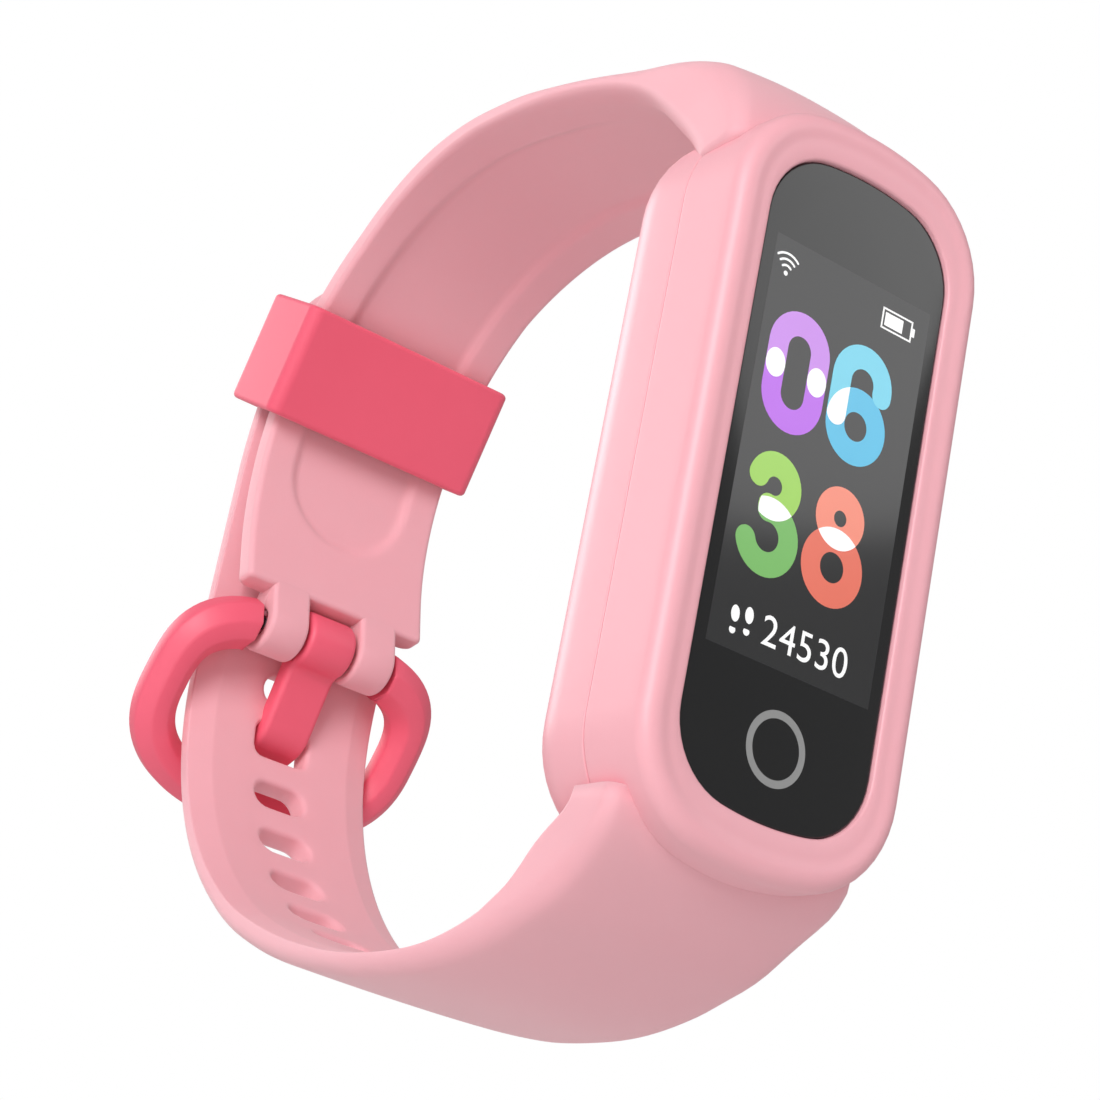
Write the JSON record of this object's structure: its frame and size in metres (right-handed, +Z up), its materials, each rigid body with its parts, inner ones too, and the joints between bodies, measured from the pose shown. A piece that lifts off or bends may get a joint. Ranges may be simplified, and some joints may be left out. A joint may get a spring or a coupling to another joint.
{
  "type": "fitness tracker band",
  "caption": "Slim wrist activity tracker with a tall glass display, silicone strap, ring buckle with a tongue, and a sliding keeper, fastened in a loop.",
  "frame": {"origin": "middle of the wrist opening, on the band's centre plane", "axes": "+X across the band to the right of someone reading the display, +Y from the display through the wrist to the buckle, +Z up the display"},
  "size_m": [0.0196, 0.0508, 0.0528],
  "materials": {
    "case": "soft satin pink moulded polycarbonate",
    "case_back": "satin pink moulded polycarbonate",
    "cover_glass": "smoke tinted, polished",
    "adhesive": "black foam tape",
    "display": "black colour display panel",
    "gold_contact": "gold plated, polished",
    "black_plastic": "moulded black",
    "circuit_board": "green solder mask",
    "battery_foil": "laminated foil pouch",
    "sensor_window": "dark moulded window, polished",
    "seal": "thin black gasket",
    "steel": "turned stainless steel",
    "strap": "matte light pink silicone",
    "buckle": "satin coral pink moulded nylon",
    "keeper": "satin coral pink silicone"
  },
  "bodies": {
    "tracker": {"front_frame": "case", "rear_shell": "case_back", "cover_glass": "cover_glass", "glass_adhesive": "adhesive", "display_panel": "display", "touch_pad": "gold_contact", "carrier_plate": "black_plastic", "main_board": "circuit_board", "processor_chip": "black_plastic", "motion_sensor_chip": "black_plastic", "battery": "battery_foil", "sensor_board": "circuit_board", "sensor_window": "sensor_window", "charging_contact_left": "gold_contact", "charging_contact_right": "gold_contact", "case_seal": "seal", "motor_can": "steel", "upper_strap": "strap", "lower_strap": "strap", "bar_tube": "steel", "bar_spring": "steel"},
    "ring": {"buckle_ring": "buckle"},
    "tongue": {"buckle_tongue": "buckle"},
    "keeper_loop": {"keeper": "keeper"},
    "left_tip": {"bar_tip_left": "steel"},
    "right_tip": {"bar_tip_right": "steel"},
    "motor_rotor": {"motor_weight": "steel"}
  },
  "joints": [
    {"name": "ring_swing", "type": "hinge", "parent": "tracker", "child": "ring", "pos_m": [0, 0.0172, -0.00225], "axis": [1, 0, 0], "range_deg": [-2, 0]},
    {"name": "tongue_swing", "type": "hinge", "parent": "tracker", "child": "tongue", "pos_m": [0, 0.0172, -0.00225], "axis": [1, 0, 0], "range_deg": [0, 2]},
    {"name": "keeper_slide", "type": "hinge", "parent": "tracker", "child": "keeper_loop", "pos_m": [0, 0, 0.00735], "axis": [1, 0, 0], "range_deg": [-10, 17]},
    {"name": "left_tip_press", "type": "slide", "parent": "tracker", "child": "left_tip", "axis": [1, 0, 0], "range_m": [0, 0.0019], "stiffness_N_per_m": 300, "springref_m": -0.001},
    {"name": "right_tip_press", "type": "slide", "parent": "tracker", "child": "right_tip", "axis": [-1, 0, 0], "range_m": [0, 0.0019], "stiffness_N_per_m": 300, "springref_m": -0.001},
    {"name": "motor_spin", "type": "hinge", "parent": "tracker", "child": "motor_rotor", "pos_m": [0.0025, -0.02025, 0.0121], "axis": [1, 0, 0], "continuous": true}
  ]
}
